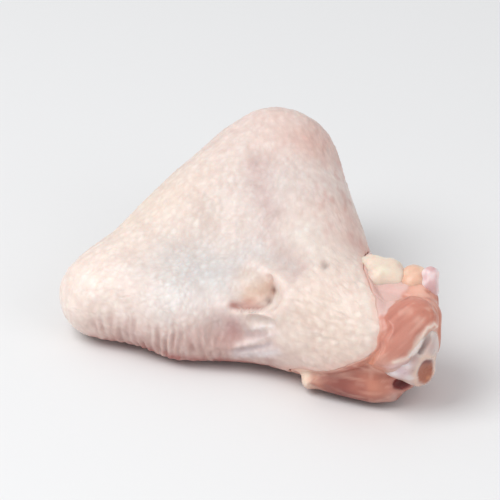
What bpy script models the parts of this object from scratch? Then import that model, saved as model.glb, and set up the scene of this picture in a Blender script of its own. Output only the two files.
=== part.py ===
"""Raw chicken wing, whole and folded, lying on its inner side.

Upper arm, forearm and folded wing tip make a flat triangle under one closed skin.  The skin
ends in an open sleeve at the shoulder, where the cut muscle, the cartilage of the upper arm
bone, two lumps of fat and a tendon end show.

Every form is a smooth blend of a few limbs, found by casting rays from a path that sweeps
from the wrist to the shoulder.  Sizes below are in millimetres; MM turns them to metres.
+X runs from wrist to shoulder, +Y towards the elbow, +Z up, floor at Z = 0.
"""
import bpy
import numpy as np

MM = 0.001
ORIGIN = np.array((-1.4, -7.6, 0.0))      # middle of the wing's footprint, moved to the world's origin

# --- the arm: joint centres and limb radii ----------------------------------------------
SHOULDER = np.array((18.0, -28.1, 17.5))
ELBOW = np.array((3.1, 24.0, 25.7))
WRIST = np.array((-36.4, -13.4, 10.2))
UPPER_ARM_R = (11.0, 12.7)                # at the shoulder, at the elbow
UPPER_ARM_SWELL = 2.5
FOREARM_R = (13.7, 5.1)                   # at the elbow, at the wrist
FOREARM_SWELL = 4.0
WEB_HALF = 4.0                            # half thickness of the skin web between the limbs

# --- what fills the triangle out ----------------------------------------------------------
SHOULDER_BALL = np.array((28.5, -34.6, 10.8))
SHOULDER_BALL_R = 14.6
CUT_BALL = np.array((35.3, -44.6, 18.4))
CUT_BALL_R = 8.8
EDGE_MIDDLE = np.array((-15.5, -22.5, 8.5))   # middle of the web's leading edge
EDGE_R = 7.6
TIP_ROOT = np.array((-32.8, -9.8, 6.8))       # folded wing tip, under the forearm
TIP_END = np.array((4.5, 17.0, 3.8))
TIP_R = (5.6, 5.6)
UNDERSIDE = 10.0                          # height of the middle of the folded underside
UNDERSIDE_HALF = 5.0
LIMB_BLEND = 4.0
CUT_BLEND = 2.5
FLOOR_BLEND = 0.8
PRESSED = 0.25                            # what is nearer to the floor than this lies flat on it
FEET = ((-31.5, -10.5), (1.0, 14.6), (17.5, -28.6))    # where wrist, folded tip and shoulder rest
FOOT_R, FOOT_EDGE = 5.0, 2.5              # flat disc of each foot, and the slope round it
LIFT = 0.7                                # how far the underside stands clear between the feet

# --- skin ---------------------------------------------------------------------------------
SKIN = 1.6                                # wall
GAP = 0.3                                 # between neighbours
LINING_GAP = 0.7                          # between the lining of the skin and the meat
LIP = 0.5                                 # how far the rounded rim of the sleeve stands forward
VALLEY = np.array(((0.2, 7.3, 38.0), (1.9, -7.6, 32.7), (3.1, -16.8, 29.1), (8.8, -30.2, 26.7)))
VALLEY_DEPTH, VALLEY_WIDTH = 1.2, 5.0
POCKET = np.array(((-6.0, -26.5, 20.5), (0.0, -29.8, 20.8), (4.8, -33.2, 21.2)))
POCKET_DEPTH, POCKET_WIDTH = 3.6, 3.4     # deep end is next to the shoulder bulge
POCKET_SHALLOW, POCKET_POWER = 0.15, 1.3  # share of the depth at the shallow end, and how it grows
FOLD = np.array(((-4.6, -18.1, 22.9), (0.6, -22.9, 24.2), (4.9, -28.5, 24.8),
                 (8.0, -33.7, 24.2), (8.7, -36.7, 22.2), (7.2, -37.4, 19.3)))
FOLD_HEIGHT, FOLD_WIDTH = 1.5, 2.4        # raised hem of skin round the pocket's mouth
FOLD_LOW = 0.25                           # share of the hem's height at its low end
LOWER_FOLD = np.array(((-5.9, -31.2, 17.5), (0.9, -33.9, 17.6), (6.0, -37.2, 18.0)))
LOWER_FOLD_HEIGHT, LOWER_FOLD_WIDTH = 1.0, 2.2
DENT = np.array(((-8.0, -33.8, 11.5), (-3.0, -34.9, 11.5), (3.0, -37.0, 13.0)))
DENT_DEPTH, DENT_WIDTH = 1.4, 3.2
TIP_CREASE = np.array(((-36.0, -4.0, 6.6), (-22.6, 11.6, 7.7), (-10.5, 22.6, 10.7), (1.0, 27.0, 11.0)))
TIP_CREASE_DEPTH, TIP_CREASE_WIDTH = 1.8, 3.0   # where the folded tip lies against the forearm
PLEATS = 17                               # gathers across the leading edge
PLEAT_HEIGHT = 0.45
PLEAT_REACH = 8.0                         # how far they run up from the edge
PLEATS_END = 5.5                          # station where they have faded out

# --- cut end ------------------------------------------------------------------------------
MUSCLES = (                               # start, end and two radii of each muscle belly
    ((38.0, -44.8, 21.6), (32.8, -48.6, 17.6), 6.0, 6.8),
    ((12.4, -38.4, 4.6), (29.6, -42.2, 5.8), 4.4, 7.4),
    ((40.0, -40.6, 21.0), (40.2, -43.0, 14.6), 4.6, 4.4),
    ((27.5, -29.4, 20.0), (38.6, -35.0, 21.0), 6.6, 5.4),
    ((37.0, -31.6, 13.6), (33.5, -34.0, 8.0), 6.4, 6.8),
    ((35.2, -42.5, 8.2), (38.0, -43.0, 11.0), 5.4, 5.0),
)
MUSCLE_BLEND = 0.5
BARE_SINK = 1.8                           # how far the creases between bare bellies sink
SINK_FROM, SINK_OVER = 0.15, 0.75         # stations past the rim over which they reach that depth
HIDDEN = 9.0                              # holds a muscle belly back where skin covers it
BARE_FROM, BARE_OVER = 0.08, 0.35         # stations past the rim over which the meat swells out
TENDON_STUB = np.array((31.6, -45.2, 3.2))
TENDON_STUB_R = 2.4
BONE_PATH = np.array(((37.0, -46.6, 15.0), (30.5, -37.5, 15.8), (20.5, -20.5, 17.8),
                      (12.0, 1.0, 21.0), (6.5, 19.0, 24.5)))
BONE_SHAFT_R = 3.3
HEAD_KNOBS = (((35.3, -48.2, 14.8), 5.4), ((38.6, -47.0, 17.2), 5.4), ((37.8, -45.6, 12.4), 4.6))
ELBOW_KNOB_R = 5.0
BONE_BLEND = 1.2
BONE_CAP = 0.8                            # stretch of the path that each rounded end takes
TANGENT_STEP = 0.05                       # stretch of the path over which its heading is measured
FAT = ((30.0, -29.2, 26.3), (6.4, 6.4, 3.6))          # centre and half sizes
SMALL_FAT = ((38.2, -31.4, 26.1), (3.0, 4.2, 2.9))
TENDON = ((41.7, -33.6, 25.8), (2.5, 3.2, 4.0))

UNEVEN = (0.06, 0.05)                     # shares by which a lump swells in three and in two lobes

# --- how finely the solids are faceted ----------------------------------------------------
AROUND = 42
SKIN_RINGS = 58
LINING_RINGS = 22
CUT_RINGS = 17
BONE_AROUND, BONE_RINGS = 16, 20
LUMP_AROUND, LUMP_RINGS = 16, 9
CAST_STEPS = 90
CAST_CAUTION = 0.7                        # share of the free distance that each step takes

# --- the sweep: one row per station, wrist to shoulder ------------------------------------
# centre x, y, z; the section's compass direction in degrees; its half length and half height
STATIONS = np.array((
    (-36.5, -17.5, 10.0, 112.0, 13.0, 10.0),
    (-24.9, -11.9, 12.0, 100.0, 20.0, 12.0),
    (-15.0, -2.0, 15.0, 90.0, 29.0, 15.0),
    (-3.1, 3.0, 18.0, 80.0, 36.0, 18.0),
    (5.4, -5.2, 18.0, 71.0, 31.0, 17.0),
    (13.5, -18.6, 16.0, 62.0, 22.0, 15.0),
    (21.5, -31.0, 15.5, 68.0, 17.0, 14.0),
    (28.0, -39.0, 15.7, 80.0, 14.0, 13.0),
    (32.0, -41.0, 15.7, 85.0, 12.0, 12.0),
))
LAST = len(STATIONS) - 1
CROWDING = (0.5, 0.7, 1.4, 1.6, 1.8, 2.0, 1.6, 1.0, 0.8, 0.8)   # rings per station of the sweep
CAP = 2.0                                 # each rounded end takes two more stations' worth of sweep
RIM_STATION = 6.45                        # where the sleeve ends, on average
RIM_SWAY, RIM_SWAY_AT = 0.95, np.radians(140.0)     # longest over the front of the shoulder
RIM_OVAL, RIM_OVAL_AT = 0.40, np.radians(143.0)
RIM_BITES = ((0.80, np.radians(226.0), np.radians(22.0)), (0.22, np.radians(126.0), np.radians(14.0)))


def rim_station(turn):
    """Station of the sleeve's rim: long over the front of the shoulder, short below and behind."""
    even = RIM_STATION + RIM_SWAY * np.cos(turn - RIM_SWAY_AT) + RIM_OVAL * np.cos(2.0 * (turn - RIM_OVAL_AT))
    return even - sum(depth * bump(turn - place, width) for depth, place, width in RIM_BITES)


# --- distance fields: negative inside ------------------------------------------------------
def limb(p, start, end, r_start, r_end, swell=0.0):
    """Distance to a tapered rod with round ends; swell thickens its middle."""
    run = end - start
    t = np.clip(((p - start) @ run) / (run @ run), 0.0, 1.0)
    radius = r_start + (r_end - r_start) * t + swell * 4.0 * t * (1.0 - t)
    return np.linalg.norm(p - start - t[..., None] * run, axis=-1) - radius


def ball(p, centre, radius):
    return np.linalg.norm(p - centre, axis=-1) - radius


def slab(p, corners, half):
    """Distance to a triangular plate with round edges."""
    normal = np.cross(corners[1] - corners[0], corners[2] - corners[0])
    over = np.ones(p.shape[:-1], bool)
    rim = np.full(p.shape[:-1], np.inf)
    for start, end in zip(corners, np.roll(corners, -1, axis=0)):
        over &= (p - start) @ np.cross(normal, end - start) > 0.0
        rim = np.minimum(rim, limb(p, start, end, 0.0, 0.0))
    face = np.abs((p - corners[0]) @ normal) / np.linalg.norm(normal)
    return np.where(over, face, rim) - half


def blend(fields, width):
    """Union whose joints are filled over about the given width."""
    fields = np.stack(fields)
    low = fields.min(axis=0)
    return low - width * np.log(np.exp((low - fields) / width).sum(axis=0))


def ease(value, start, length):
    """Smooth step from zero at start to one a length further on."""
    t = np.clip((value - start) / length, 0.0, 1.0)
    return t * t * (3.0 - 2.0 * t)


def on_floor(p, field):
    """Cut a form off at the floor round each foot and LIFT above it elsewhere, with a rounded edge."""
    clear = np.ones(p.shape[:-1])
    for x, y in FEET:
        clear = np.minimum(clear, ease(np.hypot(p[..., 0] - x, p[..., 1] - y), FOOT_R, FOOT_EDGE))
    return -blend([-field, p[..., 2] - LIFT * clear], FLOOR_BLEND)


def along(points, p):
    """Distance from p to a line through points, and the share of its length before the nearest place."""
    best = np.full(p.shape[:-1], np.inf)
    share = np.zeros(p.shape[:-1])
    runs = np.diff(points, axis=0)
    lengths = np.linalg.norm(runs, axis=1)
    before = np.cumsum(lengths) - lengths
    for start, run, length, passed in zip(points, runs, lengths, before):
        t = np.clip(((p - start) @ run) / (run @ run), 0.0, 1.0)
        d = np.linalg.norm(p - start - t[..., None] * run, axis=-1)
        share = np.where(d < best, (passed + t * length) / lengths.sum(), share)
        best = np.minimum(best, d)
    return best, share


def bump(distance, width):
    return np.exp(-(distance / width) ** 2)


def folds(p):
    """How far the skin and what is under it sink (+) or rise (-) at the large folds."""
    d, _ = along(VALLEY, p)
    sink = VALLEY_DEPTH * bump(d, VALLEY_WIDTH)
    d, share = along(POCKET, p)
    deeper = POCKET_SHALLOW + (1.0 - POCKET_SHALLOW) * share ** POCKET_POWER
    sink += POCKET_DEPTH * bump(d, POCKET_WIDTH) * deeper
    d, share = along(FOLD, p)
    sink -= FOLD_HEIGHT * bump(d, FOLD_WIDTH) * (FOLD_LOW + (1.0 - FOLD_LOW) * share)
    d, _ = along(LOWER_FOLD, p)
    sink -= LOWER_FOLD_HEIGHT * bump(d, LOWER_FOLD_WIDTH)
    d, _ = along(DENT, p)
    sink += DENT_DEPTH * bump(d, DENT_WIDTH)
    d, _ = along(TIP_CREASE, p)
    return sink + TIP_CREASE_DEPTH * bump(d, TIP_CREASE_WIDTH)


def wing(p, relief=0.0):
    """The whole folded wing, outside of the skin, raised or sunk by a relief."""
    under = np.array((SHOULDER, TIP_END, TIP_ROOT))
    under[:, 2] = UNDERSIDE
    arm = blend([
        limb(p, SHOULDER, ELBOW, *UPPER_ARM_R, UPPER_ARM_SWELL),
        limb(p, ELBOW, WRIST, *FOREARM_R, FOREARM_SWELL),
        slab(p, np.array((SHOULDER, ELBOW, WRIST)), WEB_HALF),
        slab(p, under, UNDERSIDE_HALF),
        ball(p, SHOULDER_BALL, SHOULDER_BALL_R),
        limb(p, WRIST, EDGE_MIDDLE, EDGE_R, EDGE_R),
        limb(p, EDGE_MIDDLE, SHOULDER_BALL, EDGE_R, EDGE_R),
        limb(p, TIP_ROOT, TIP_END, *TIP_R),
    ], LIMB_BLEND)
    whole = blend([arm, ball(p, CUT_BALL, CUT_BALL_R)], CUT_BLEND)
    return on_floor(p, whole + folds(p) + relief)


def pleats(p, station):
    """Low gathers that cross the web's leading edge and fade upwards from it."""
    leading_edge = np.array((WRIST, EDGE_MIDDLE, SHOULDER_BALL)) - np.array((0.0, EDGE_R, 0.0))
    edge, share = along(leading_edge, p)
    reach = bump(edge, PLEAT_REACH) * np.clip(PLEATS_END - station, 0.0, 1.0)
    return -PLEAT_HEIGHT * reach * np.cos(share * PLEATS * 2.0 * np.pi)


def bone(p):
    """Upper arm bone: thin shaft, knuckled cartilage head at the shoulder, knob at the elbow."""
    parts = [limb(p, a, b, BONE_SHAFT_R, BONE_SHAFT_R) for a, b in zip(BONE_PATH[:-1], BONE_PATH[1:])]
    parts += [ball(p, np.array(centre), radius) for centre, radius in HEAD_KNOBS]
    parts.append(ball(p, BONE_PATH[-1], ELBOW_KNOB_R))
    return blend(parts, BONE_BLEND)


# --- casting the fields into rings -----------------------------------------------------------
def through(rows, at):
    """Smooth curve through rows, read at places counted in rows (Catmull-Rom)."""
    rows = np.vstack((2 * rows[0] - rows[1], rows, 2 * rows[-1] - rows[-2]))
    i = np.clip(np.floor(at).astype(int), 0, len(rows) - 4)
    t = (at - i)[..., None]
    a, b, c, d = rows[i], rows[i + 1], rows[i + 2], rows[i + 3]
    bend = 2 * a - 5 * b + 4 * c - d
    twist = 3 * b - a - 3 * c + d
    return 0.5 * (2 * b + (c - a) * t + bend * t ** 2 + twist * t ** 3)


def cast(origin, direction, field):
    """Walk from origin along direction until the field is zero."""
    reach = np.zeros(origin.shape[:-1])
    for _ in range(CAST_STEPS):
        reach = reach - CAST_CAUTION * field(origin + reach[..., None] * direction)
    return origin + reach[..., None] * direction


def sweep(sweep_at, turn):
    """Origin and direction of the rays at places along the sweep and turns round it.

    Past either end station the rays tip forward, a right angle over CAP stations, to close a dome.
    """
    row = through(STATIONS, np.clip(sweep_at, 0.0, LAST))
    past = np.clip(sweep_at - LAST, 0.0, CAP) + np.clip(sweep_at, -CAP, 0.0)
    tip = past / CAP * np.pi / 2.0
    compass = np.radians(row[..., 3])
    out = np.stack((np.cos(compass), np.sin(compass), 0 * compass), axis=-1)
    ahead = np.stack((np.sin(compass), -np.cos(compass), 0 * compass), axis=-1)
    up = np.array((0.0, 0.0, 1.0))
    across, rise = row[..., 4] * np.cos(turn), row[..., 5] * np.sin(turn)
    size = np.hypot(across, rise)
    ring = (across / size)[..., None] * out + (rise / size)[..., None] * up
    return row[..., :3], np.cos(tip)[..., None] * ring + np.sin(tip)[..., None] * ahead


def sleeve_stations(rings, turn):
    """Sweep places of rings from the wrist's pole to the sleeve's rim; they lean only near the rim."""
    filled = np.concatenate(((0.0,), np.cumsum(CROWDING)))
    places = np.arange(len(filled)) - CAP
    total = np.interp(RIM_STATION, places, filled)
    even = np.interp(np.linspace(0.0, total, rings + 1)[1:], filled, places)
    w = ((even + CAP) / (RIM_STATION + CAP))[:, None]
    lean = rim_station(turn) - RIM_STATION
    return -CAP + w * (RIM_STATION + CAP) + lean * w ** 3


TURNS = np.arange(AROUND) * 2.0 * np.pi / AROUND


def skin_rings():
    """Outer skin from the wrist to the rim, round the lip, and the lining back to the wrist."""
    at = sleeve_stations(SKIN_RINGS, TURNS[None, :])
    origin, direction = sweep(at, TURNS[None, :] + 0 * at)
    outer = cast(origin, direction, lambda p: wing(p, pleats(p, at)))
    at = sleeve_stations(LINING_RINGS, TURNS[None, :])
    origin, direction = sweep(at, TURNS[None, :] + 0 * at)
    lining = cast(origin, direction, lambda p: wing(p) + SKIN)
    forward = outer[-1] - outer[-2]
    forward /= np.linalg.norm(forward, axis=-1, keepdims=True)
    lip = 0.5 * (outer[-1:] + lining[-1:]) + LIP * forward
    origin, direction = sweep(np.array([-CAP]), np.array([0.0]))
    pole = cast(origin, direction, wing)
    inner_pole = cast(origin, direction, lambda p: wing(p) + SKIN)
    return pole, np.concatenate((outer, lip, lining[::-1])), inner_pole


def meat_field(p, at, turn, clearance=0.0):
    """Meat: the wing less the skin where it is covered; past the rim it swells to bare muscle."""
    past = at - rim_station(turn)
    bare = ease(past, BARE_FROM, BARE_OVER)
    shy = (SKIN + LINING_GAP) * (1.0 - bare)
    parts = [wing(p) + shy + BARE_SINK * ease(past, SINK_FROM, SINK_OVER)]
    for start, end, *radii in MUSCLES:
        parts.append(limb(p, np.array(start), np.array(end), *radii) + HIDDEN * (1.0 - bare))
    parts.append(ball(p, TENDON_STUB, TENDON_STUB_R) + HIDDEN * (1.0 - bare))
    return on_floor(p, blend(parts, MUSCLE_BLEND)) - clearance


def meat_rings(clearance=0.0):
    """Meat from its wrist pole, inside the skin, out through the sleeve to the cut end's pole."""
    covered = sleeve_stations(LINING_RINGS, TURNS[None, :])
    w = np.linspace(0.0, 1.0, CUT_RINGS + 1)[1:-1, None]
    bare = rim_station(TURNS[None, :]) * (1.0 - w) + (LAST + CAP) * w
    at = np.concatenate((covered, bare))
    turn = TURNS[None, :] + 0 * at
    origin, direction = sweep(at, turn)
    rings = cast(origin, direction, lambda p: meat_field(p, at, turn, clearance))
    poles = []
    for end in (-CAP, LAST + CAP):
        at_end, no_turn = np.array([end]), np.array([0.0])
        origin, direction = sweep(at_end, no_turn)
        poles.append(cast(origin, direction, lambda p: meat_field(p, at_end, no_turn, clearance)))
    return poles[0], rings, poles[1]


def sleeve_rings(clearance):
    """The skin's outside as one full form, closed straight across the sleeve's mouth."""
    at = sleeve_stations(SKIN_RINGS, TURNS[None, :])
    origin, direction = sweep(at, TURNS[None, :] + 0 * at)
    rings = cast(origin, direction, lambda p: wing(p, pleats(p, at)) - clearance)
    forward = rings[-1] - rings[-2]
    forward /= np.linalg.norm(forward, axis=-1, keepdims=True)
    mouth = rings[-1:] + (LIP + clearance) * forward
    origin, direction = sweep(np.array([-CAP]), np.array([0.0]))
    pole = cast(origin, direction, lambda p: wing(p) - clearance)
    return pole, np.concatenate((rings, mouth)), mouth.mean(axis=1)


def bone_rings(clearance=0.0):
    """Rings square to the bone's curved axis, domed at both ends."""
    last = len(BONE_PATH) - 1
    at = np.linspace(-BONE_CAP, last + BONE_CAP, BONE_RINGS + 2)
    on_axis = np.clip(at, 0.0, last)
    centre = through(BONE_PATH, on_axis)
    ahead = (through(BONE_PATH, np.minimum(on_axis + TANGENT_STEP, last))
             - through(BONE_PATH, np.maximum(on_axis - TANGENT_STEP, 0.0)))
    ahead /= np.linalg.norm(ahead, axis=-1, keepdims=True)
    side = np.cross((0.0, 0.0, 1.0), ahead)
    side /= np.linalg.norm(side, axis=-1, keepdims=True)
    top = np.cross(ahead, side)
    tip = (np.clip(at - last, 0.0, BONE_CAP) + np.clip(at, -BONE_CAP, 0.0)) / BONE_CAP * np.pi / 2.0
    turn = np.arange(BONE_AROUND) * 2.0 * np.pi / BONE_AROUND
    ring = np.cos(turn)[None, :, None] * side[:, None] + np.sin(turn)[None, :, None] * top[:, None]
    direction = np.cos(tip)[:, None, None] * ring + np.sin(tip)[:, None, None] * ahead[:, None]
    origin = np.broadcast_to(centre[:, None], direction.shape)
    rings = cast(origin, direction, lambda p: bone(p) - clearance)
    return rings[0, :1], rings[1:-1], rings[-1, :1]


# --- objects ----------------------------------------------------------------------------------
def clear_scene():
    for thing in list(bpy.data.objects):
        bpy.data.objects.remove(thing, do_unlink=True)


def material(name, colour, roughness):
    made = bpy.data.materials.new(name)
    made.use_nodes = True
    shader = made.node_tree.nodes["Principled BSDF"]
    shader.inputs["Base Color"].default_value = (*colour, 1.0)
    shader.inputs["Roughness"].default_value = roughness
    shader.inputs["Metallic"].default_value = 0.0
    return made


def closed_mesh(name, first_pole, rings, last_pole, finish):
    """One closed body: cells between neighbouring rings, split the short way, and a fan at each pole."""
    count, around = rings.shape[:2]
    points = np.concatenate((first_pole, rings.reshape(-1, 3), last_pole)) - ORIGIN
    points[np.abs(points[:, 2]) < PRESSED, 2] = 0.0
    ring = 1 + np.arange(count)[:, None] * around
    here, beside = ring + np.arange(around), ring + (np.arange(around) + 1) % around
    a, b, c, d = (corner.ravel() for corner in (here[:-1], beside[:-1], beside[1:], here[1:]))
    level = np.linalg.norm(points[a] - points[c], axis=1) <= np.linalg.norm(points[b] - points[d], axis=1)
    halves = np.where(level, (a, b, c, a, c, d), (a, b, d, b, c, d))
    band = halves.T.reshape(-1, 3)
    first = np.stack((0 * here[0], beside[0], here[0]), -1)
    last = np.stack((here[-1], beside[-1], 0 * here[-1] + len(points) - 1), -1)
    faces = np.concatenate((first, band, last))
    mesh = bpy.data.meshes.new(name)
    mesh.from_pydata((points * MM).tolist(), [], faces.tolist())
    mesh.shade_smooth()
    mesh.materials.append(finish)
    thing = bpy.data.objects.new(name, mesh)
    bpy.context.scene.collection.objects.link(thing)
    return thing


def cut_by(thing, cutter):
    """Subtract a helper, which stays in the file as a hidden wire."""
    cutter.hide_render = True
    cutter.display_type = "WIRE"
    cut = thing.modifiers.new("cut by " + cutter.name, "BOOLEAN")
    cut.operation = "DIFFERENCE"
    cut.solver = "EXACT"
    cut.object = cutter


def lump(name, centre, half, finish, clearance=0.0):
    """A rounded, slightly uneven lump."""
    half = np.array(half) + clearance
    rise = np.linspace(-np.pi / 2, np.pi / 2, LUMP_RINGS + 2)[1:-1, None]
    turn = np.arange(LUMP_AROUND)[None, :] * 2.0 * np.pi / LUMP_AROUND
    three_lobes = UNEVEN[0] * np.sin(3.0 * turn + 1.0) * np.cos(rise)
    two_lobes = UNEVEN[1] * np.sin(2.0 * turn + 4.0 * rise)
    uneven = 1.0 + three_lobes + two_lobes
    x = np.cos(rise) * np.cos(turn) * uneven * half[0]
    y = np.cos(rise) * np.sin(turn) * uneven * half[1]
    z = np.sin(rise) * uneven * half[2] + 0 * turn
    rings = np.stack((x, y, z), -1) + np.array(centre)
    poles = np.array(((0.0, 0.0, -half[2]), (0.0, 0.0, half[2]))) + np.array(centre)
    return closed_mesh(name, poles[:1], rings, poles[1:], finish)


def main():
    clear_scene()
    skin_finish = material("skin", (0.86, 0.69, 0.62), 0.42)
    meat_finish = material("meat", (0.66, 0.27, 0.20), 0.38)
    bone_finish = material("cartilage", (0.74, 0.66, 0.64), 0.30)
    fat_finish = material("fat", (0.88, 0.76, 0.60), 0.40)
    tendon_finish = material("tendon", (0.80, 0.70, 0.74), 0.30)
    skin = closed_mesh("skin", *skin_rings(), skin_finish)
    meat = closed_mesh("meat", *meat_rings(), meat_finish)
    humerus = closed_mesh("humerus", *bone_rings(), bone_finish)
    fat = lump("fat", *FAT, fat_finish)
    small_fat = lump("small_fat", *SMALL_FAT, fat_finish)
    tendon = lump("tendon", *TENDON, tendon_finish)
    bore = closed_mesh("bone_bore", *bone_rings(GAP), bone_finish)
    meat_room = closed_mesh("meat_room", *meat_rings(GAP), meat_finish)
    sleeve_room = closed_mesh("sleeve_room", *sleeve_rings(GAP), skin_finish)
    fat_room = lump("fat_room", *FAT, fat_finish, GAP)
    small_fat_room = lump("small_fat_room", *SMALL_FAT, fat_finish, GAP)
    cut_by(meat, bore)
    for soft in (fat, small_fat, tendon):
        cut_by(soft, meat_room)
        cut_by(soft, sleeve_room)
    cut_by(small_fat, fat_room)
    cut_by(tendon, small_fat_room)
    return skin, meat, humerus, fat, small_fat, tendon


main()
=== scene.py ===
# %% [markdown]
# # A raw chicken wing
#
# The wing lies folded flat on its inner side. The upper arm runs up the right, the forearm comes
# down the left, and a web of skin closes the triangle between them. At the right the skin ends in
# a sleeve, and the cut muscle, the end of the arm bone, two lumps of fat and a tendon show.
#
# A wing could be sculpted by hand, but every place on it can also be worked out. Here each piece
# is a grid of points found by formula, so a size can be changed and the whole wing follows.
# The first cell brings in the measured solids, which say where each piece has to be.

# %% the measured solids
import bpy
import numpy as np
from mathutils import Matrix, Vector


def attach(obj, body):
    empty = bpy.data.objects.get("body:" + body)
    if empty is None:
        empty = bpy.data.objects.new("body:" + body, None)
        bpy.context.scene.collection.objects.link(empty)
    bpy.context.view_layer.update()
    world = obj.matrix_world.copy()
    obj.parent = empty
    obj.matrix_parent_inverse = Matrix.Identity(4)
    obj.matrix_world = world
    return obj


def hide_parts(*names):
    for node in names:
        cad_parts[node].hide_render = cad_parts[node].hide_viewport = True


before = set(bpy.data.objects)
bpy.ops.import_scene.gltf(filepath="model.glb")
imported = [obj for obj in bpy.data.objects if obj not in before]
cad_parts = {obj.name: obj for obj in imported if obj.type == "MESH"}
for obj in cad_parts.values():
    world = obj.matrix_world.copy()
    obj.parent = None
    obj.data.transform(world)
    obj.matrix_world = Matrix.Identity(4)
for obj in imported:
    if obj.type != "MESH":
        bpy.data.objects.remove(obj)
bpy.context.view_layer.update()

# %% [markdown]
# ## Sizes
#
# A cook would say where the joints are and how thick the flesh is round them, and that is all
# the table below holds. Lengths are in millimetres, X runs from wrist to shoulder, Y towards the
# elbow and Z up from the board. MM and MIDDLE turn them into the world's metres at the end.

# %% sizes of the arm
MM = 0.001
MIDDLE = np.array((-1.4, -7.6, 0))  # middle of the wing's footprint
SHOULDER, ELBOW, WRIST = np.array(((18, -28.1, 17.5), (3.1, 24, 25.7), (-36.4, -13.4, 10.2)))
UPPER_ARM_R, UPPER_ARM_SWELL = (11, 12.7), 2.5
FOREARM_R, FOREARM_SWELL = (13.7, 5.1), 4
WEB_HALF = 4
SHOULDER_BALL, SHOULDER_BALL_R = np.array((28.5, -34.6, 10.8)), 14.6
CUT_BALL, CUT_BALL_R = np.array((35.3, -44.6, 18.4)), 8.8
EDGE_MIDDLE, EDGE_R = np.array((-15.5, -22.5, 8.5)), 7.6
TIP_ROOT, TIP_END = np.array((-32.8, -9.8, 6.8)), np.array((4.5, 17, 3.8))
TIP_R = (5.6, 5.6)
UNDERSIDE, UNDERSIDE_HALF = 10, 5
FEET = ((-31.5, -10.5), (1, 14.6), (17.5, -28.6))  # x, y of wrist, folded tip and shoulder
FOOT_R, FOOT_EDGE, LIFT = 5, 2.5, 0.7  # flat disc of a foot, its slope, clearance between feet
LIMB_BLEND, CUT_BLEND, FLOOR_BLEND = 4, 2.5, 0.8
SKIN, GAP, RELIEF = 1.6, 0.25, 0.5  # skin, gap to the meat, room for relief below the form
THIN_RIM, THIN_OVER = 0.6, 1.2  # the skin thins to this over so many stations
print("shoulder to elbow", round(float(np.linalg.norm(ELBOW - SHOULDER)), 1), "mm")

# %% [markdown]
# ## Distance formulas
#
# A soft body has no edges to draw. It is easier to say how far any point is from its surface:
# below zero inside, above zero outside. A limb is a rod with a radius, and a blend of several
# distances fills the corners between them as flesh and skin do.

# %% distance formulas
def length(v):
    """Length of each vector, the last index being x, y, z."""
    return np.linalg.norm(v, axis=-1)


def unit(v):
    """Each vector divided by its length."""
    return v / length(v)[..., None]


def limb(p, start, end, r_start, r_end, swell=0):
    """Distance to a rod: to the nearest place on its axis, less the radius there."""
    run = end - start
    t = np.clip(((p - start) @ run) / (run @ run), 0, 1)
    radius = r_start + (r_end - r_start) * t + swell * 4 * t * (1 - t)
    return length(p - start - t[..., None] * run) - radius


def ball(p, centre, radius):
    """Distance to a ball: to its centre, less its radius."""
    return length(p - centre) - radius


def balls(p, rows):
    """Distance to each ball of a table: x, y, z, radius."""
    return [ball(p, centre, radius) for *centre, radius in rows]


def slab(p, corners, half):
    """Distance to a rounded triangle: height over its plane, or to its rim when beside it."""
    normal = np.cross(corners[1] - corners[0], corners[2] - corners[0])
    over = np.ones(p.shape[:-1], bool)
    rim = np.full(p.shape[:-1], np.inf)
    for start, end in zip(corners, np.roll(corners, -1, axis=0)):
        over &= (p - start) @ np.cross(normal, end - start) > 0
        rim = np.minimum(rim, limb(p, start, end, 0, 0))
    face = np.abs((p - corners[0]) @ normal) / np.linalg.norm(normal)
    return np.where(over, face, rim) - half


def blend(fields, width):
    """Soft union: minus the width times the logarithm of the summed exponentials."""
    fields = np.stack(fields)
    low = fields.min(axis=0)
    return low - width * np.log(np.exp((low - fields) / width).sum(axis=0))


def on_board(p, field):
    """The form flattened where it lies: at the board round each foot, a little above it elsewhere."""
    clear = np.ones(p.shape[:-1])
    for x, y in FEET:
        away = np.hypot(p[..., 0] - x, p[..., 1] - y)
        clear = np.minimum(clear, ramp(away, FOOT_R, FOOT_R + FOOT_EDGE))
    return -blend([-field, p[..., 2] - LIFT * clear], FLOOR_BLEND)


def along(points, p):
    """Distance to a line through points, and the share of its length before the nearest place."""
    best = np.full(p.shape[:-1], np.inf)
    share = np.zeros(p.shape[:-1])
    runs = np.diff(points, axis=0)
    lengths = length(runs)
    before = np.cumsum(lengths) - lengths
    for start, run, own, passed in zip(points, runs, lengths, before):
        t = np.clip(((p - start) @ run) / (run @ run), 0, 1)
        d = length(p - start - t[..., None] * run)
        share = np.where(d < best, (passed + t * own) / lengths.sum(), share)
        best = np.minimum(best, d)
    return best, share


def bump(distance, width):
    """A bell: one in the middle, fading over the width."""
    return np.exp(-(distance / width) ** 2)


def ramp(value, low, high):
    """Smooth step from zero at low to one at high."""
    t = np.clip((value - low) / (high - low), 0, 1)
    return t * t * (3 - 2 * t)


def spot(p, place, reach, size=1):
    """A bell round a place, stretched along each axis by the size."""
    return bump(length((p - place) / size), reach)


def beside(line, p, width):
    """A bell across a line."""
    return bump(along(line, p)[0], width)


print("half a width from a line the bell is", round(float(bump(0.5, 1)), 2))

# %% [markdown]
# ## Folds
#
# Where the shoulder was bent the skin has gathered: a leaf-shaped pocket with a hem, a soft dent
# under it and a few stretched cords that run together. Each fold is a line with a depth and a
# width. The surface sinks or rises by a bell across that line.

# %% folds of the skin
def path(*points):
    """A line through points."""
    return np.array(points)


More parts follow.
